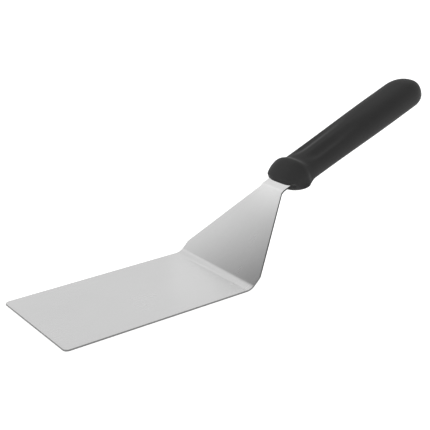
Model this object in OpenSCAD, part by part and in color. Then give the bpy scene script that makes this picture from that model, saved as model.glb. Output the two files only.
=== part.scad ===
// Grill spatula: a stainless steel turning blade whose neck and tang are one bent sheet,
// with a polypropylene handle moulded over the tang. The blade's flat lies on the XY plane,
// the origin is the centre of its underside, and +X points towards the handle.

/* [Blade] */
// Width of the turning blade
blade_w = 76; // [60:1:110]
// Length of the flat, from the front edge to the corner of the lower bend
blade_l = 127; // [90:1:200]
// Thickness of the sheet
sheet_t = 1; // [0.8:0.1:1.5]
// Radius of the two front corners
corner_r = 3; // [1:0.5:10]

/* [Neck] */
// Angle of the neck above the blade, in degrees
neck_rise = 43.3; // [30:0.1:50]
// Length of the neck, from one bend's corner to the other's
neck_l = 66.4; // [50:0.1:100]
// Length of neck that keeps the blade's width, before the taper
shoulder_l = 9.5; // [9:0.1:20]
// Radius that softens the two corners where the taper starts
shoulder_r = 4; // [1:0.5:10]
// Width of the neck's narrow end
neck_w = 21.2; // [17:0.1:24]
// Inside radius of the lower bend, between the blade and the neck
lower_bend_r = 8; // [3:0.5:14]
// Inside radius of the upper bend, between the neck and the tang
upper_bend_r = 6; // [3:0.5:12]

/* [Tang] */
// Length of the tang inside the handle
tang_l = 98; // [60:1:108]
// Width of the tang inside the grip
tang_w = 15; // [10:0.5:16]
// Length of the wide root of the tang inside the bolster
tang_root_l = 7; // [3:0.5:12]
// Number of lock holes that the handle's plastic fills
lock_holes = 3; // [1:1:4]
// Diameter of a lock hole
lock_hole_d = 6; // [3:0.5:8]

/* [Handle] */
// Angle of the handle above the blade, in degrees
handle_rise = 20.8; // [10:0.1:26]
// Length of bare sheet between the upper bend's corner and the handle
bare_l = 4.9; // [4.5:0.1:14]
// Length of the handle
handle_l = 132.4; // [125:0.1:160]
// Width of the grip
grip_w = 30.2; // [26:0.2:34]
// Thickness of the grip just behind the bolster
grip_front_t = 14.4; // [13:0.1:18]
// Thickness of the grip at its rear
grip_rear_t = 17.8; // [15:0.1:24]
// Width of the bolster's front edge
bolster_front_w = 28.4; // [26:0.2:33]
// Thickness of the bolster's front edge
bolster_front_t = 5.2; // [4.6:0.2:12]
// Largest width of the bolster
bolster_w = 33.8; // [33:0.2:40]
// Largest thickness of the bolster
bolster_t = 20; // [16:0.5:24]
// How far the sides of the bolster's front edge stand behind its middle
front_sweep = 3; // [0:0.1:4]
// Depth of the thumb scoops beside the handle's spine
scoop_depth = 1.2; // [0:0.1:2.4]

/* [Hidden] */

curve_fn = 96;
bend_steps = 16;
cut_margin = 2;

// A rounding's circle is this much larger than its radius, so that it crosses the plate's edges
// at a clear angle instead of only touching them
crossing = 0.01;

// A bend's tangent point lies this far from its corner, measured on the sheet's underside
lower_setback = (lower_bend_r + sheet_t) * tan(neck_rise / 2);
bend_back = neck_rise - handle_rise;
upper_setback = upper_bend_r * tan(bend_back / 2);

// The taper ends a little before the upper bend
straight_l = 1;
neck_end = neck_l - upper_setback;
taper_end = neck_end - straight_l;
taper_angle = atan((blade_w - neck_w) / 2 / (taper_end - shoulder_l));

tang_end = bare_l + tang_l;
root_end = bare_l + tang_root_l;
root_step = (neck_w - tang_w) / 2;
first_hole = root_end + root_step + lock_hole_d;
hole_pitch = (tang_end - tang_w / 2 - first_hole) / max(lock_holes - 1, 1);

// Stations along the handle, measured from the middle of its front edge
edge_r = 1.2;
side_swell_l = 10;
side_full = 12;
side_end = 16;
side_power = 2;
nose_l = 13.6;
nose_full = 14.2;
nose_power = 1.4;
bolster_end = 19.6;
grip_full = 100;
cap_l = grip_w / 2;
section_power = 2.5;
cap_power = 2.6;
sweep_power = 4;
sweep_fade = 15;

// The scoops start behind the bolster, are deepest for a short stretch and then fade out
scoop_start = 19.6;
scoop_deep_from = 31;
scoop_deep_to = 38;
scoop_end = 80;
spine_share = 0.1;
scoop_side_share = 0.86;

ring_count = 44;
edge_steps = 3;
bolster_steps = 18;
body_step = 3.8;
cap_steps = 9;

// ---- helpers ----

function ease(t) = let (c = min(max(t, 0), 1)) c * c * (3 - 2 * c);
function blend(from, to, t) = from + (to - from) * ease(t);
function swell(from, to, t, power) =
    from + (to - from) * pow(1 - pow(1 - min(t, 1), power), 1 / power);
function signed_power(v, p) = sign(v) * pow(abs(v), p);

// What a plate loses where a corner is rounded. The corner is at the origin, one edge arrives
// along +X with the plate on its left, and the other leaves at the angle turn to the left.
module corner_waste(radius, turn) {
    over = radius + cut_margin;
    translate([-radius * tan(turn / 2), radius])
        difference() {
            polygon([
                [0, 0],
                [0, -over],
                [over * tan(turn / 2), -over],
                [over * sin(turn), -over * cos(turn)],
            ]);
            circle(r = radius + crossing, $fn = curve_fn);
        }
}

module both_sides() {
    children();
    mirror([0, 1, 0])
        children();
}

// Frames: the X axis runs along the sheet's underside and Z is the sheet's normal
module in_neck_frame()
    translate([blade_l / 2, 0, 0])
        rotate([0, -neck_rise, 0])
            children();

module in_handle_frame()
    in_neck_frame()
        translate([neck_l, 0, 0])
            rotate([0, bend_back, 0])
                children();

// The same frames for points of the side view, as [x, z]
function turned(p, angle) = [
    p[0] * cos(angle) - p[1] * sin(angle),
    p[0] * sin(angle) + p[1] * cos(angle),
];
function from_neck(p) = [blade_l / 2, 0] + turned(p, neck_rise);
function from_handle(p) = from_neck([neck_l, 0]) + turned(p, handle_rise);
function arc(centre, radius, from, to) = [
    for (i = [0 : bend_steps])
        let (a = from + (to - from) * i / bend_steps) centre + radius * [cos(a), sin(a)]
];

// ---- the sheet ----

// One face of the sheet seen from the side, at the height level above the underside
function side_line(level) = concat(
    [[-blade_l / 2, level]],
    arc(
        [blade_l / 2 - lower_setback, lower_bend_r + sheet_t],
        lower_bend_r + sheet_t - level, -90, neck_rise - 90
    ),
    arc(
        from_neck([neck_end, -upper_bend_r]),
        upper_bend_r + level, 90 + neck_rise, 90 + handle_rise
    ),
    [from_handle([tang_end + cut_margin, level])]
);

function reversed(list) = [for (i = [len(list) - 1 : -1 : 0]) list[i]];

module bent_strip()
    translate([0, blade_w / 2, 0])
        rotate([90, 0, 0])
            linear_extrude(blade_w)
                polygon(concat(side_line(0), reversed(side_line(sheet_t))));

// The front corners' rounding
module front_corner()
    translate([-blade_l / 2, -blade_w / 2, -cut_margin])
        linear_extrude(sheet_t + 2 * cut_margin)
            rotate(-90)
                corner_waste(corner_r, 90);

// What is cut away beside the neck, and beside the tang's root at the neck's own width
module neck_side()
    in_neck_frame()
        translate([0, 0, -tang_end])
            linear_extrude(2 * tang_end) {
                polygon([
                    [shoulder_l, -blade_w / 2] - cut_margin * [cos(taper_angle), sin(taper_angle)],
                    [taper_end, -neck_w / 2],
                    [neck_end + tang_end + cut_margin, -neck_w / 2],
                    [neck_end + tang_end + cut_margin, -blade_w],
                    [shoulder_l, -blade_w],
                ]);
                translate([shoulder_l, -blade_w / 2])
                    corner_waste(shoulder_r, taper_angle);
            }

module tang_side()
    in_handle_frame()
        translate([0, 0, -cut_margin])
            linear_extrude(sheet_t + 2 * cut_margin)
                difference() {
                    polygon([
                        [root_end, -neck_w / 2 - cut_margin],
                        [root_end, -neck_w / 2],
                        [root_end + root_step, -tang_w / 2],
                        [tang_end - tang_w / 2, -tang_w / 2],
                        [tang_end - tang_w / 2, cut_margin],
                        [tang_end + 2 * cut_margin, cut_margin],
                        [tang_end + 2 * cut_margin, -neck_w / 2 - cut_margin],
                    ]);
                    translate([tang_end - tang_w / 2, 0])
                        circle(d = tang_w, $fn = curve_fn);
                }

module lock_hole_row()
    in_handle_frame()
        for (i = [0 : lock_holes - 1])
            translate([first_hole + i * hole_pitch, 0, -cut_margin])
                cylinder(d = lock_hole_d, h = sheet_t + 2 * cut_margin, $fn = curve_fn);

module sheet()
    difference() {
        bent_strip();
        both_sides() {
            front_corner();
            neck_side();
            tang_side();
        }
        lock_hole_row();
    }

// ---- the handle's moulded form ----

function half_width(s) =
    s < side_full
        ? swell(bolster_front_w / 2, bolster_w / 2, s / side_swell_l, side_power)
        : blend(bolster_w / 2, grip_w / 2, (s - side_full) / (side_end - side_full));

function half_thickness(s) =
    s < nose_full
        ? swell(bolster_front_t / 2, bolster_t / 2, s / nose_l, nose_power)
        : s < bolster_end
            ? blend(bolster_t / 2, grip_front_t / 2, (s - nose_full) / (bolster_end - nose_full))
            : blend(grip_front_t / 2, grip_rear_t / 2, (s - bolster_end) / (grip_full - bolster_end));

// How far the front edge's rounding pulls the surface in
function edge_inset(s) =
    s < edge_r ? edge_r - sqrt(edge_r * edge_r - pow(edge_r - s, 2)) : 0;

// How far along the round end a station is, from 0 to 1
function cap_share(s) = max(0, (s - (handle_l - cap_l)) / cap_l);

function scoop_along(s) =
    ease((s - scoop_start) / (scoop_deep_from - scoop_start))
    * (1 - ease((s - scoop_deep_to) / (scoop_end - scoop_deep_to)));

// q is a point's share of the half-width
function scoop_across(q) =
    q < spine_share || q > scoop_side_share
        ? 0
        : pow(sin(180 * (q - spine_share) / (scoop_side_share - spine_share)), 2);

function ring_point(s, a) =
    let (
        q = signed_power(cos(a), 2 / section_power),
        w = (half_width(s) - edge_inset(s)) * sqrt(1 - pow(cap_share(s), 2)),
        cap_h = pow(1 - pow(cap_share(s), cap_power), 1 / cap_power),
        h = (half_thickness(s) - edge_inset(s)) * cap_h,
        scoop = scoop_depth * scoop_along(s) * scoop_across(abs(q)),
        sweep = front_sweep * pow(abs(q), sweep_power) * (1 - ease(s / sweep_fade))
    )
    [
        bare_l + s + sweep,
        w * q,
        sheet_t / 2 + h * signed_power(sin(a), 2 / section_power) - sign(sin(a)) * scoop,
    ];

body_l = handle_l - cap_l - bolster_end;
body_steps = ceil(body_l / body_step);
stations = concat(
    [for (i = [0 : edge_steps]) edge_r * (1 - cos(90 * i / edge_steps))],
    [for (i = [1 : bolster_steps]) edge_r + (bolster_end - edge_r) * i / bolster_steps],
    [for (i = [1 : body_steps]) bolster_end + body_l * i / body_steps],
    [for (i = [1 : cap_steps - 1]) handle_l - cap_l + cap_l * sin(90 * i / cap_steps)]
);
last_ring = len(stations) - 1;

// Each ring starts half a step from the side, so that it has no point where the sections are sharpest
function ring_index(ring, i) = ring * ring_count + (i + ring_count) % ring_count;

module handle_form() {
    ring_points = [
        for (s = stations, i = [0 : ring_count - 1]) ring_point(s, 360 * (i + 0.5) / ring_count)
    ];
    apex = [bare_l + handle_l, 0, sheet_t / 2];
    apex_index = len(ring_points);

    sides = [
        for (r = [0 : last_ring - 1], i = [0 : ring_count - 1])
            each [
                [ring_index(r, i), ring_index(r, i + 1), ring_index(r + 1, i)],
                [ring_index(r, i + 1), ring_index(r + 1, i + 1), ring_index(r + 1, i)],
            ]
    ];
    // Strips between each point of the front ring and the point below it
    front = [
        for (i = [0 : ring_count / 2 - 2])
            each [
                [ring_index(0, i), ring_index(0, -1 - i), ring_index(0, i + 1)],
                [ring_index(0, i + 1), ring_index(0, -1 - i), ring_index(0, -2 - i)],
            ]
    ];
    end = [
        for (i = [0 : ring_count - 1])
            [ring_index(last_ring, i), ring_index(last_ring, i + 1), apex_index]
    ];
    polyhedron(points = concat(ring_points, [apex]), faces = concat(sides, front, end));
}

// ---- the nodes ----

module blade()
    color("silver")
        sheet();

module handle()
    color("dimgray")
        difference() {
            in_handle_frame()
                handle_form();
            sheet();
        }

blade();
handle();
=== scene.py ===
"""Looks of a grill spatula: one bent sheet of brushed steel and the plastic handle moulded over its tang.

Both CAD nodes are replaced by finer meshes of the same shapes: the sheet gets rounded edges and
true bends, and the handle a smooth moulded skin with its parting line. The tang's lock holes and
the handle's cavity round the tang are there too, hidden.
"""

import math

import bpy
import numpy as np
from mathutils import Matrix, Vector


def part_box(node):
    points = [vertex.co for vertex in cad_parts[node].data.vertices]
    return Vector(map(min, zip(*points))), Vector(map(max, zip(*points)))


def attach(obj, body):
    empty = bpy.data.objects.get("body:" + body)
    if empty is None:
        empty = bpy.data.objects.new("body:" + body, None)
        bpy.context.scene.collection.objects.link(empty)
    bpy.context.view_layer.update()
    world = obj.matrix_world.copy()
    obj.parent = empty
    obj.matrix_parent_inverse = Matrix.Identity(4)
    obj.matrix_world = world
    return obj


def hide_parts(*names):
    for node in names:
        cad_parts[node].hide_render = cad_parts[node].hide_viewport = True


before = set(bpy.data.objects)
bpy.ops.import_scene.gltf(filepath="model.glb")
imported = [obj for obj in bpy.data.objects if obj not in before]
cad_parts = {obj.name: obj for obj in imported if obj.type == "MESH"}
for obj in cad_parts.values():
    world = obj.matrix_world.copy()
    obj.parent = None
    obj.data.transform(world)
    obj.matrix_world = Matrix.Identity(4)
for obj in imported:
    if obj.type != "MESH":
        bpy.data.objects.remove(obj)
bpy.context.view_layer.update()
blade_low, blade_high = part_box("blade")

MM = 0.001

# Sheet, in millimetres. The blade's length and width are the frame's.
BLADE_L = -2 * blade_low.x / MM
BLADE_W = (blade_high.y - blade_low.y) / MM
SHEET_T = 1.0
CORNER_R = 3.0
NECK_RISE = math.radians(43.3)
NECK_L = 66.4
SHOULDER_L = 9.5
SHOULDER_R = 4.0
NECK_W = 21.2
STRAIGHT_L = 1.0
LOWER_BEND_R = 8.0
UPPER_BEND_R = 6.0
HANDLE_RISE = math.radians(20.8)
BARE_L = 4.9
TANG_L = 98.0
TANG_W = 15.0
TANG_ROOT_L = 7.0
LOCK_HOLES = 3
LOCK_HOLE_D = 6.0
EDGE_ROUND = 0.14
EDGE_SUPPORT = 2 * EDGE_ROUND

# Worked out: half-widths, how far each bend starts before its corner, and where each stretch ends.
# The neck's stretches are measured from the lower corner, and the tang's from the upper one.
HALF_BLADE = BLADE_W / 2
HALF_NECK = NECK_W / 2
HALF_TANG = TANG_W / 2
LOWER_SETBACK = (LOWER_BEND_R + SHEET_T) * math.tan(NECK_RISE / 2)
UPPER_SETBACK = UPPER_BEND_R * math.tan((NECK_RISE - HANDLE_RISE) / 2)
FLAT_END = BLADE_L / 2 - LOWER_SETBACK
NECK_END = NECK_L - UPPER_SETBACK
TAPER_END = NECK_END - STRAIGHT_L
TAPER = math.atan((HALF_BLADE - HALF_NECK) / (TAPER_END - SHOULDER_L))
ROOT_END = BARE_L + TANG_ROOT_L
STEP_END = ROOT_END + HALF_NECK - HALF_TANG
TANG_END = BARE_L + TANG_L

# Handle, in millimetres. Places along it are measured from its front.
HANDLE_L = 132.4
GRIP_W = 30.2
GRIP_FRONT_T = 14.4
GRIP_REAR_T = 17.8
BOLSTER_FRONT_W = 28.4
BOLSTER_FRONT_T = 5.2
BOLSTER_W = 33.8
BOLSTER_T = 20.0
FRONT_SWEEP = 3.0
SCOOP_DEPTH = 1.2
EDGE_R = 1.2
SIDE_SWELL_L = 10.0
SIDE_FULL = 12.0
SIDE_END = 16.0
SIDE_POWER = 2.0
NOSE_L = 13.6
NOSE_FULL = 14.2
NOSE_POWER = 1.4
BOLSTER_END = 19.6
GRIP_FULL = 100.0
CAP_L = GRIP_W / 2
SECTION_POWER = 2.5
CAP_POWER = 2.6
SWEEP_POWER = 4
SWEEP_FADE = 15.0
SCOOP_START = 19.6
SCOOP_DEEP_FROM = 31.0
SCOOP_DEEP_TO = 38.0
SCOOP_END = 80.0
SPINE_SHARE = 0.1
SCOOP_SIDE_SHARE = 0.86

# The mould's parting line: a fine rib along each side of the handle
PARTING_HALF_ANGLE = math.radians(0.3)
PARTING_RISE = 0.05

# Mesh detail: numbers of steps, lengths in millimetres, and the angle from which an edge is sharp.
# Stations close beside a bend or a corner keep its shading off the flat next to it.
FLAT_STEPS = 13
BEND_STEPS = 28
ARC_STEPS = 10
ACROSS = 8
EDGE_STEPS = 4
HOLE_STEPS = 48
BESIDE_BEND = 0.4
BESIDE_SHOULDER = 1.0
RING_STEPS = 144
FRONT_STEPS = 8
CAP_STEPS = 36
BODY_STEP = 1.5
SHARP_ANGLE = math.radians(50)

# Camera: the direction and tilt it looks from, its place in millimetres, and its lens
CAMERA_AZIMUTH = math.radians(-36.267)
CAMERA_ELEVATION = math.radians(20.257)
CAMERA_ROLL = math.radians(-0.827)
CAMERA_LOCATION = (-263.80, -447.54, 242.48)
CAMERA_LENS = 79.46


# ---- small helpers ----


def ease(t):
    t = min(max(t, 0.0), 1.0)
    return t * t * (3 - 2 * t)


def blend(start, end, t):
    """From start to end with a soft start and stop"""
    return start + (end - start) * ease(t)


def swell(start, end, t, power):
    """From start to end, fast at first: a quarter of a superellipse"""
    return start + (end - start) * (1 - (1 - min(t, 1)) ** power) ** (1 / power)


def even_steps(end, count):
    """From 0 to end, both included"""
    return [end * i / count for i in range(count + 1)]


def edge_drop(radius, reach):
    """How far a face has dropped at its rounded edge, at a distance inward from it"""
    outward = max(0.0, radius - reach)
    return radius - math.sqrt(radius**2 - outward**2)


def signed_power(value, power):
    return math.copysign(abs(value) ** power, value)


def turned(point, angle):
    """A side-view point (x, z) turned about the origin"""
    x, z = point
    return (x * math.cos(angle) - z * math.sin(angle), x * math.sin(angle) + z * math.cos(angle))


def from_neck(point):
    """A side-view point measured along and off the neck's underside from the lower bend's corner"""
    x, z = turned(point, NECK_RISE)
    return (x + BLADE_L / 2, z)


def from_handle(point):
    """A side-view point measured along and off the tang's underside from the upper bend's corner"""
    corner = from_neck((NECK_L, 0))
    x, z = turned(point, HANDLE_RISE)
    return (x + corner[0], z + corner[1])


def make_object(name, vertices, faces, uvs=None, slots=None):
    """A mesh object from points in millimetres.

    uvs is one (u, v) for each vertex, and slots is the material slot of each face."""
    mesh = bpy.data.meshes.new(name)
    mesh.from_pydata([Vector(v) * MM for v in vertices], [], faces)
    if uvs is not None:
        layer = mesh.uv_layers.new(name="along_the_piece")
        for loop in mesh.loops:
            layer.data[loop.index].uv = uvs[loop.vertex_index]
    if slots is not None:
        mesh.polygons.foreach_set("material_index", slots)
    mesh.shade_smooth()
    made = bpy.data.objects.new(name, mesh)
    bpy.context.scene.collection.objects.link(made)
    return made


def cut_out(piece, cutter):
    """Takes the cutter's solid out of a piece, and keeps the new edges sharp"""
    cut = piece.modifiers.new("cut", "BOOLEAN")
    cut.object = cutter
    cut.solver = "EXACT"
    evaluated = piece.evaluated_get(bpy.context.evaluated_depsgraph_get())
    result = bpy.data.meshes.new_from_object(evaluated)
    piece.modifiers.remove(cut)
    piece.data = result
    result.set_sharp_from_angle(angle=SHARP_ANGLE)


# ---- the sheet ----


def edge_rows():
    """Distances from an edge at which the sheet has points: across its rounding, and just beside it"""
    turns = even_steps(math.pi / 2, EDGE_STEPS)
    return [EDGE_ROUND * (1 - math.cos(turn)) for turn in turns] + [EDGE_SUPPORT]


def flat_stations():
    """The blade's flat, with its rounded front corners"""
    corner = [CORNER_R * (1 - math.cos(turn)) for turn in even_steps(math.pi / 2, ARC_STEPS)]
    out = []
    for back in edge_rows() + [x for x in corner if x > EDGE_SUPPORT + EDGE_ROUND]:
        half = HALF_BLADE - CORNER_R + math.sqrt(CORNER_R**2 - (CORNER_R - back) ** 2)
        out.append(((back - BLADE_L / 2, 0), 0, half))
    straight = list(np.linspace(CORNER_R - BLADE_L / 2, FLAT_END, FLAT_STEPS + 1)[1:-1])
    return out + [((x, 0), 0, HALF_BLADE) for x in straight + [FLAT_END - BESIDE_BEND]]


def lower_bend_stations():
    radius = LOWER_BEND_R + SHEET_T
    out = []
    for rise in even_steps(NECK_RISE, BEND_STEPS):
        spot = (FLAT_END + radius * math.sin(rise), radius * (1 - math.cos(rise)))
        out.append((spot, rise, HALF_BLADE))
    return out


def neck_stations():
    """Shoulder, taper and the straight bit before the upper bend"""
    reach = SHOULDER_R * math.tan(TAPER / 2)
    widths = [(LOWER_SETBACK + BESIDE_BEND, HALF_BLADE), (SHOULDER_L - reach - BESIDE_SHOULDER, HALF_BLADE)]
    for turn in even_steps(TAPER, ARC_STEPS):
        x = SHOULDER_L - reach + SHOULDER_R * math.sin(turn)
        widths.append((x, HALF_BLADE - SHOULDER_R * (1 - math.cos(turn))))
    taper_start = SHOULDER_L + reach * math.cos(TAPER)
    for x in np.linspace(taper_start, TAPER_END, FLAT_STEPS + 1)[1:]:
        widths.append((x, HALF_BLADE - (x - SHOULDER_L) * math.tan(TAPER)))
    widths.append((NECK_END - BESIDE_BEND, HALF_NECK))
    return [(from_neck((x, 0)), NECK_RISE, half) for x, half in widths]


def upper_bend_stations():
    centre_x, centre_z = from_neck((NECK_END, -UPPER_BEND_R))
    out = []
    for turn in even_steps(HANDLE_RISE - NECK_RISE, BEND_STEPS):
        rise = NECK_RISE + turn
        spot = (centre_x - UPPER_BEND_R * math.sin(rise), centre_z + UPPER_BEND_R * math.cos(rise))
        out.append((spot, rise, HALF_NECK))
    return out


def tang_stations():
    """Wide root, step down and round end"""
    widths = [
        (UPPER_SETBACK + BESIDE_BEND, HALF_NECK),
        (ROOT_END, HALF_NECK),
        (STEP_END, HALF_TANG),
        (TANG_END - HALF_TANG, HALF_TANG),
    ]
    for turn in even_steps(math.pi / 2, ARC_STEPS)[1:-1]:
        widths.append((TANG_END - HALF_TANG * (1 - math.sin(turn)), HALF_TANG * math.cos(turn)))
    return [(from_handle((x, 0)), HANDLE_RISE, half) for x, half in widths]


def sheet_stations():
    """Where the sheet's cross-sections are, from the front edge to the tang's end.

    Each is (point of the underside in the side view, rise there, half-width)."""
    bends = (lower_bend_stations(), upper_bend_stations())
    return flat_stations() + bends[0] + neck_stations() + bends[1] + tang_stations()


def points_across(half):
    """Where a cross-section has its points, from one side of the sheet to the other"""
    rim = edge_rows()
    inner = np.linspace(0, half - rim[-1], ACROSS + 1)[:-1]
    side = list(inner) + [half - reach for reach in reversed(rim)]
    return [-y for y in reversed(side[1:])] + side


def build_sheet():
    stations = sheet_stations()
    front = stations[0][0][0]
    vertices, uvs, faces, slots = [], [], [], []
    along, last = 0.0, stations[0][0]
    for (x, z), rise, half in stations:
        along += math.hypot(x - last[0], z - last[1])
        last = (x, z)
        offsets = points_across(half)
        for level in (0, 1):
            for y in offsets:
                drop = edge_drop(EDGE_ROUND, min(half - abs(y), x - front))
                height = SHEET_T - drop if level else drop
                vertices.append((x - math.sin(rise) * height, y, z + math.cos(rise) * height))
                uvs.append((along * MM, y * MM))
    count = len(offsets)
    side = count - 1

    def at(i, level, j):
        return (2 * i + level) * count + j

    end = len(stations) - 1
    for i in range(end):
        for j in range(side):
            faces.append((at(i, 1, j), at(i + 1, 1, j), at(i + 1, 1, j + 1), at(i, 1, j + 1)))
            faces.append((at(i, 0, j + 1), at(i + 1, 0, j + 1), at(i + 1, 0, j), at(i, 0, j)))
            # Slot 1, the rounded rims and cut edges, gets the edge material with its painted shade
            on_rim = min(i, j, side - 1 - j) < EDGE_STEPS
            slots += [1, 1] if on_rim else [0, 0]
    for i in range(end):
        faces.append((at(i, 0, 0), at(i + 1, 0, 0), at(i + 1, 1, 0), at(i, 1, 0)))
        faces.append((at(i, 1, side), at(i + 1, 1, side), at(i + 1, 0, side), at(i, 0, side)))
    for j in range(side):
        faces.append((at(0, 0, j), at(0, 1, j), at(0, 1, j + 1), at(0, 0, j + 1)))
        faces.append((at(end, 1, j), at(end, 0, j), at(end, 0, j + 1), at(end, 1, j + 1)))
    slots += [1] * (len(faces) - len(slots))
    return make_object("steel_sheet", vertices, faces, uvs, slots)


def lock_hole_cutters():
    """Round bars where the tang has its holes, which the handle's plastic fills"""
    radius = LOCK_HOLE_D / 2
    vertices, faces = [], []
    for spot in np.linspace(STEP_END + LOCK_HOLE_D, TANG_END - HALF_TANG, LOCK_HOLES):
        low = len(vertices)
        high = low + HOLE_STEPS
        for level in (-SHEET_T, 2 * SHEET_T):
            for i in range(HOLE_STEPS):
                turn = 2 * math.pi * (i + 0.5) / HOLE_STEPS
                x, z = from_handle((spot + radius * math.cos(turn), level))
                vertices.append((x, radius * math.sin(turn), z))
        for i in range(HOLE_STEPS):
            j = (i + 1) % HOLE_STEPS
            faces.append((low + i, low + j, high + j, high + i))
        faces.append(tuple(range(high - 1, low - 1, -1)))
        faces.append(tuple(range(high, high + HOLE_STEPS)))
    return make_object("lock_hole_cutters", vertices, faces)


# ---- the handle ----


def half_width(s):
    """Half the handle's width: the bolster swells back from its front, then narrows to the grip"""
    if s < SIDE_FULL:
        return swell(BOLSTER_FRONT_W, BOLSTER_W, s / SIDE_SWELL_L, SIDE_POWER) / 2
    return blend(BOLSTER_W, GRIP_W, (s - SIDE_FULL) / (SIDE_END - SIDE_FULL)) / 2


def half_thickness(s):
    """Half the handle's thickness: the bolster's nose, its step down, and the grip growing to the rear"""
    if s < NOSE_FULL:
        return swell(BOLSTER_FRONT_T, BOLSTER_T, s / NOSE_L, NOSE_POWER) / 2
    if s < BOLSTER_END:
        return blend(BOLSTER_T, GRIP_FRONT_T, (s - NOSE_FULL) / (BOLSTER_END - NOSE_FULL)) / 2
    return blend(GRIP_FRONT_T, GRIP_REAR_T, (s - BOLSTER_END) / (GRIP_FULL - BOLSTER_END)) / 2


def scoop(s, q):
    """Depth of the thumb scoop at station s, for a point at the share q of the half-width"""
    if q < SPINE_SHARE or q > SCOOP_SIDE_SHARE:
        return 0.0
    along = ease((s - SCOOP_START) / (SCOOP_DEEP_FROM - SCOOP_START))
    along *= 1 - ease((s - SCOOP_DEEP_TO) / (SCOOP_END - SCOOP_DEEP_TO))
    across = math.sin(math.pi * (q - SPINE_SHARE) / (SCOOP_SIDE_SHARE - SPINE_SHARE)) ** 2
    return SCOOP_DEPTH * along * across


def ring_angles():
    """Where a ring's points are: even steps, and the parting line's two at each side"""
    half = [2 * math.pi * (i + 0.5) / RING_STEPS for i in range(RING_STEPS // 2)]
    half = [PARTING_HALF_ANGLE] + half + [math.pi - PARTING_HALF_ANGLE]
    return half + [angle + math.pi for angle in half]


def handle_point(s, angle):
    """A point of the handle's skin, at station s along the handle and an angle round it"""
    q = signed_power(math.cos(angle), 2 / SECTION_POWER)
    cap = max(0.0, (s - (HANDLE_L - CAP_L)) / CAP_L)
    drop = edge_drop(EDGE_R, s)
    w = (half_width(s) - drop) * math.sqrt(1 - cap * cap)
    h = (half_thickness(s) - drop) * (1 - cap**CAP_POWER) ** (1 / CAP_POWER)
    sweep = FRONT_SWEEP * abs(q) ** SWEEP_POWER * (1 - ease(s / SWEEP_FADE))
    up = math.copysign(1, math.sin(angle))
    z = SHEET_T / 2 + h * signed_power(math.sin(angle), 2 / SECTION_POWER) - up * scoop(s, abs(q))
    x, z = from_handle((BARE_L + s + sweep, z))
    on_line = abs(math.sin(angle)) < 2 * PARTING_HALF_ANGLE
    return (x, w * q * (1 + on_line * PARTING_RISE / (GRIP_W / 2)), z)


def handle_stations():
    edge = [EDGE_R * (1 - math.cos(turn)) for turn in even_steps(math.pi / 2, FRONT_STEPS)]
    body_from, body_to = EDGE_R, HANDLE_L - CAP_L
    body_steps = round((body_to - body_from) / BODY_STEP)
    body = list(np.linspace(body_from, body_to, body_steps + 1)[1:])
    cap = [body_to + CAP_L * math.sin(turn) for turn in even_steps(math.pi / 2, CAP_STEPS)[1:-1]]
    return edge + body + cap


def build_handle():
    stations, angles = handle_stations(), ring_angles()
    count = len(angles)
    vertices, uvs, faces = [], [], []
    for s in stations:
        for angle in angles:
            vertices.append(handle_point(s, angle))
            uvs.append((s * MM, angle / (2 * math.pi)))
    apex = from_handle((BARE_L + HANDLE_L, SHEET_T / 2))
    vertices.append((apex[0], 0, apex[1]))
    uvs.append((HANDLE_L * MM, 0.5))

    def at(ring, i):
        return ring * count + i % count

    end = len(stations) - 1
    for ring in range(end):
        for i in range(count):
            faces.append((at(ring, i), at(ring, i + 1), at(ring + 1, i + 1), at(ring + 1, i)))
    for i in range(count):
        faces.append((at(end, i), at(end, i + 1), len(vertices) - 1))
    for i in range(count // 2 - 1):
        faces.append((at(0, i), at(0, -1 - i), at(0, -2 - i), at(0, i + 1)))
    return make_object("moulded_handle", vertices, faces, uvs)


# ---- materials ----

NOISE_LOW, NOISE_HIGH = 0.3, 0.7


class Graph:
    """Short calls for building a material's node tree"""

    def __init__(self, name):
        self.material = bpy.data.materials.new(name)
        self.material.use_nodes = True
        self.tree = self.material.node_tree
        self.shader = self.tree.nodes["Principled BSDF"]

    def add(self, kind, inputs=None, **settings):
        """A node; inputs maps its inputs to sockets or plain values"""
        made = self.tree.nodes.new(kind)
        for key, value in settings.items():
            setattr(made, key, value)
        for key, value in (inputs or {}).items():
            self.put(made, key, value)
        return made

    def put(self, node, key, value):
        if isinstance(value, bpy.types.NodeSocket):
            self.tree.links.new(value, node.inputs[key])
        else:
            node.inputs[key].default_value = value

    def noise(self, vector, scale, detail=3.0, roughness=0.5):
        inputs = {"Vector": vector, "Scale": scale, "Detail": detail, "Roughness": roughness}
        return self.add("ShaderNodeTexNoise", inputs).outputs["Fac"]

    def stretched(self, vector, scale):
        return self.add("ShaderNodeMapping", {"Vector": vector, "Scale": scale}).outputs["Vector"]

    def spread(self, noise, low, high):
        """Noise mapped from its usual span onto low..high"""
        usual = {"From Min": NOISE_LOW, "From Max": NOISE_HIGH}
        wanted = {"To Min": low, "To Max": high}
        return self.add("ShaderNodeMapRange", {"Value": noise, **usual, **wanted}).outputs["Result"]

    def grey(self, value):
        inputs = {"Red": value, "Green": value, "Blue": value}
        return self.add("ShaderNodeCombineColor", inputs).outputs["Color"]

    def math(self, operation, a, b):
        return self.add("ShaderNodeMath", {0: a, 1: b}, operation=operation).outputs["Value"]

    def bump(self, height, distance, strength=1.0, normal=None):
        inputs = {"Height": height, "Distance": distance, "Strength": strength}
        if normal is not None:
            inputs["Normal"] = normal
        return self.add("ShaderNodeBump", inputs).outputs["Normal"]

    def finish(self, **inputs):
        for key, value in inputs.items():
            self.put(self.shader, key.replace("_", " "), value)
        return self.material


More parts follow.
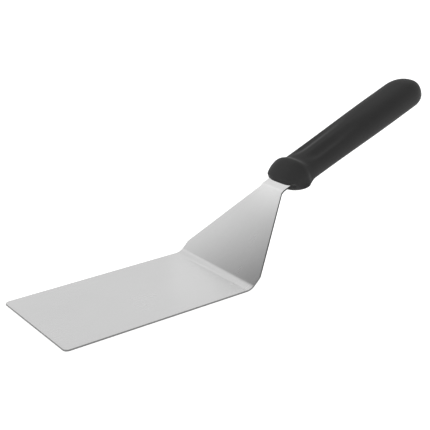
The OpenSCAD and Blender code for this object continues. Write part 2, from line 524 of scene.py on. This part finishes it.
def brushed_steel():
    """The sheet's faces: a satin grain along the tool, faint clouds and slight waves of the sheet"""
    g = Graph("brushed_steel")
    uv = g.add("ShaderNodeUVMap", uv_map="along_the_piece").outputs["UV"]
    grain = g.noise(g.stretched(uv, (60, 3600, 1)), 1.0, 3.0, 0.6)
    bands = g.noise(g.stretched(uv, (9, 900, 1)), 1.0, 3.0)
    cloud = g.noise(g.stretched(uv, (22, 22, 1)), 1.0, 3.0)
    tangent = g.add("ShaderNodeTangent", direction_type="UV_MAP", uv_map="along_the_piece")
    waves = g.noise(g.stretched(uv, (16, 16, 1)), 1.0, 1.0)
    return g.finish(
        Base_Color=g.grey(g.math("ADD", g.spread(grain, -0.014, 0.014), g.spread(cloud, 0.655, 0.675))),
        Metallic=1.0,
        Roughness=g.math("ADD", g.spread(bands, 0.24, 0.26), g.spread(cloud, -0.01, 0.02)),
        Anisotropic=0.2,
        Tangent=tangent.outputs["Tangent"],
        Normal=g.bump(grain, 0.000004, 0.2, g.bump(waves, 0.00004, 0.3)),
    )


def sheared_edge_with_painted_shade():
    """The sheet's cut edge: duller than its faces, with fine lines through the thickness, and painted
    shade: its colour is made far darker than steel to stand for the dark surroundings that the edges mirror
    """
    g = Graph("sheared_edge_with_painted_shade")
    uv = g.add("ShaderNodeUVMap", uv_map="along_the_piece").outputs["UV"]
    lines = g.noise(g.stretched(uv, (2600, 2600, 1)), 1.0, 2.0)
    return g.finish(
        # Painted shade: this dark colour stands in for the darker reflections that the cut edges show
        Base_Color=g.grey(g.spread(lines, 0.16, 0.22)),
        Metallic=1.0,
        Roughness=g.spread(lines, 0.28, 0.4),
        Normal=g.bump(lines, 0.00001, 0.4),
    )


def moulded_plastic():
    """Black moulded plastic: a fine spark-eroded texture, faint mottling and shallow sink marks"""
    g = Graph("moulded_plastic")
    place = g.add("ShaderNodeTexCoord").outputs["Object"]
    sparks = g.noise(place, 2600, 2.0)
    mottle = g.noise(place, 60, 3.0)
    sink = g.noise(place, 28, 1.0)
    shade = g.math("ADD", g.spread(mottle, 0.0275, 0.032), g.spread(sparks, -0.003, 0.003))
    return g.finish(
        Base_Color=g.grey(shade),
        Roughness=g.math("ADD", g.spread(sparks, 0.46, 0.56), g.spread(mottle, -0.02, 0.02)),
        Specular_IOR_Level=0.10,
        Normal=g.bump(sparks, 0.00006, 0.5, g.bump(sink, 0.0002, 0.3)),
    )


def floor_paper():
    g = Graph("floor_paper")
    place = g.add("ShaderNodeTexCoord").outputs["Object"]
    fibre = g.noise(place, 900, 3.0)
    return g.finish(
        Base_Color=g.grey(g.spread(fibre, 0.90, 0.92)),
        Roughness=0.9,
        Specular_IOR_Level=0.1,
        Emission_Color=(1, 1, 1, 1),
        Emission_Strength=0.6,
    )


# ---- pieces ----

sheet = build_sheet()
sheet.data.materials.append(brushed_steel())
sheet.data.materials.append(sheared_edge_with_painted_shade())
cutters = lock_hole_cutters()
cut_out(sheet, cutters)
bpy.data.objects.remove(cutters)
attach(sheet, "root")
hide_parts("blade")

handle = build_handle()
handle.data.materials.append(moulded_plastic())
cut_out(handle, sheet)
handle.visible_glossy = False
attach(handle, "root")
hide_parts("handle")


# ---- stage ----


def plane(name, centre, size, material):
    x, y = size[0] / 2, size[1] / 2
    made = make_object(name, [(-x, -y, 0), (x, -y, 0), (x, y, 0), (-x, y, 0)], [(0, 1, 2, 3)])
    made.location = Vector(centre) * MM
    made.data.materials.append(material)
    return made


FLOOR_GAP = 0.05
FLOOR_W = 9000
plane("floor", (0, 0, -FLOOR_GAP), (FLOOR_W, FLOOR_W), floor_paper())

# Sky: even from the horizon up, darker overhead, and plain white where the camera itself sees it
SKY_LEVEL, SKY_TOP = 0.89, 0.40
FADE_FROM, FADE_TO = 50, 75


def sine(degrees):
    return math.sin(math.radians(degrees))


def studio_sky():
    world = bpy.data.worlds.new("studio_sky")
    world.use_nodes = True
    tree = world.node_tree
    tree.nodes["Background"].inputs["Color"].default_value = (1, 1, 1, 1)
    split = tree.nodes.new("ShaderNodeSeparateXYZ")
    tree.links.new(tree.nodes.new("ShaderNodeTexCoord").outputs["Generated"], split.inputs["Vector"])
    fade = tree.nodes.new("ShaderNodeMapRange")
    fade.interpolation_type = "SMOOTHSTEP"
    fade.inputs["From Min"].default_value = sine(FADE_FROM)
    fade.inputs["From Max"].default_value = sine(FADE_TO)
    fade.inputs["To Min"].default_value = SKY_LEVEL
    fade.inputs["To Max"].default_value = SKY_TOP
    tree.links.new(split.outputs["Z"], fade.inputs["Value"])
    seen = tree.nodes.new("ShaderNodeMath")
    seen.operation = "MAXIMUM"
    tree.links.new(fade.outputs["Result"], seen.inputs[0])
    tree.links.new(tree.nodes.new("ShaderNodeLightPath").outputs["Is Camera Ray"], seen.inputs[1])
    tree.links.new(seen.outputs["Value"], tree.nodes["Background"].inputs["Strength"])
    bpy.context.scene.world = world


studio_sky()

DARKEST_CARD, BRIGHTEST_CARD = 0.02, 1.3


def card_light(level, rise_x=0.0, rise_y=0.0, fade=0.2):
    """Light of a reflector card: a plain gradient that fades out at the card's borders"""
    g = Graph("card_light")
    split = g.add("ShaderNodeSeparateXYZ", {"Vector": g.add("ShaderNodeTexCoord").outputs["Generated"]})
    x, y = split.outputs["X"], split.outputs["Y"]
    slope = g.math("ADD", g.math("MULTIPLY", x, rise_x), g.math("MULTIPLY", y, rise_y))
    glow = g.math("MINIMUM", g.math("MAXIMUM", g.math("ADD", slope, level), DARKEST_CARD), BRIGHTEST_CARD)
    emission = g.add("ShaderNodeEmission", {"Color": g.grey(glow)})

    def border(value):
        inward = g.math("MINIMUM", value, g.math("SUBTRACT", 1.0, value))
        inputs = {"Value": inward, "From Max": fade}
        return g.add("ShaderNodeMapRange", inputs, interpolation_type="SMOOTHSTEP").outputs["Result"]

    cover = g.math("MULTIPLY", border(x), border(y))
    clear = g.add("ShaderNodeBsdfTransparent").outputs["BSDF"]
    mix = g.add("ShaderNodeMixShader", {"Fac": cover, 1: clear, 2: emission.outputs["Emission"]})
    g.tree.links.new(mix.outputs["Shader"], g.tree.nodes["Material Output"].inputs["Surface"])
    return g.material


def reflector(name, seen_from, towards, distance, shift, size, light):
    """A card that only reflections see, square to the direction in which a surface mirrors the camera.

    It stands at a distance from the point it is seen from, and shift moves its middle across and up."""
    towards = Vector(towards).normalized()
    across = Vector((towards.y, -towards.x, 0)).normalized()
    upward = across.cross(towards)
    made = plane(name, (0, 0, 0), size, light)
    middle = Vector(seen_from) + towards * distance + across * shift[0] + upward * shift[1]
    made.location = middle * MM
    made.rotation_mode = "QUATERNION"
    made.rotation_quaternion = Matrix((across, upward, -towards)).transposed().to_quaternion()
    made.visible_camera = False
    made.visible_diffuse = False
    made.visible_shadow = False
    made.visible_transmission = False


# Points of the sheet, and the direction in which the camera's view is mirrored there.
# The neck's face, its top and the bare steel before the handle:
NECK_MIDDLE = (95, 0, 30)
NECK_TOP = (110, 0, 45)
NECK_MIRROR = (-0.333, 0.735, 0.591)
BARE_STEEL = (112, 0, 47)
BARE_MIRROR = (0.25, 0.725, 0.64)
# The neck's cut edge on the near side:
NECK_EDGE = (95, -22, 20)
NECK_EDGE_MIRROR = (0.946, -0.32, 0.024)
# Beside the part of the neck that the flat mirrors next to the lower bend:
TWICE_SEEN = (83, 38, 18)
TWICE_MIRROR = (0.378, 0.756, 0.534)

neck_light = card_light(-0.6, 2.58, -0.85)
reflector("neck_card", NECK_MIDDLE, NECK_MIRROR, 300, (-55, 0), (230, 320), neck_light)
reflector("top_card", NECK_TOP, NECK_MIRROR, 25, (10, 10), (70, 70), card_light(1.2, fade=0.5))
reflector("root_card", BARE_STEEL, BARE_MIRROR, 25, (0, 0), (44, 44), card_light(1.02))
reflector("edge_flag", NECK_EDGE, NECK_EDGE_MIRROR, 40, (20, 0), (150, 64), card_light(DARKEST_CARD))
reflector("bounce_card", TWICE_SEEN, TWICE_MIRROR, 60, (0, 0), (45, 45), card_light(0.97))


def softbox(name, spot, target, size, power):
    """A square area light at a spot, turned to a target, with its power in watts"""
    light = bpy.data.lights.new(name, "AREA")
    light.shape = "SQUARE"
    light.size = size * MM
    light.energy = power
    made = bpy.data.objects.new(name, light)
    made.location = Vector(spot) * MM
    made.rotation_euler = (Vector(spot) - Vector(target)).to_track_quat("Z", "Y").to_euler()
    bpy.context.scene.collection.objects.link(made)


softbox("key", (-300, -200, 1500), (60, 0, 0), 1400, 0.5)


# ---- camera ----

camera_data = bpy.data.cameras.new("camera")
camera_data.lens = CAMERA_LENS
camera = bpy.data.objects.new("camera", camera_data)
bpy.context.scene.collection.objects.link(camera)
back = Vector(
    (
        math.sin(CAMERA_AZIMUTH) * math.cos(CAMERA_ELEVATION),
        -math.cos(CAMERA_AZIMUTH) * math.cos(CAMERA_ELEVATION),
        math.sin(CAMERA_ELEVATION),
    )
)
level = Vector((math.cos(CAMERA_AZIMUTH), math.sin(CAMERA_AZIMUTH), 0))
upright = back.cross(level)
right = level * math.cos(CAMERA_ROLL) + upright * math.sin(CAMERA_ROLL)
up = upright * math.cos(CAMERA_ROLL) - level * math.sin(CAMERA_ROLL)
facing = Matrix((right, up, back)).transposed().to_4x4()
camera.matrix_world = Matrix.Translation(Vector(CAMERA_LOCATION) * MM) @ facing
camera_data.clip_start, camera_data.clip_end = 0.01, 20
bpy.context.scene.camera = camera

bpy.context.scene.view_settings.view_transform = "Standard"
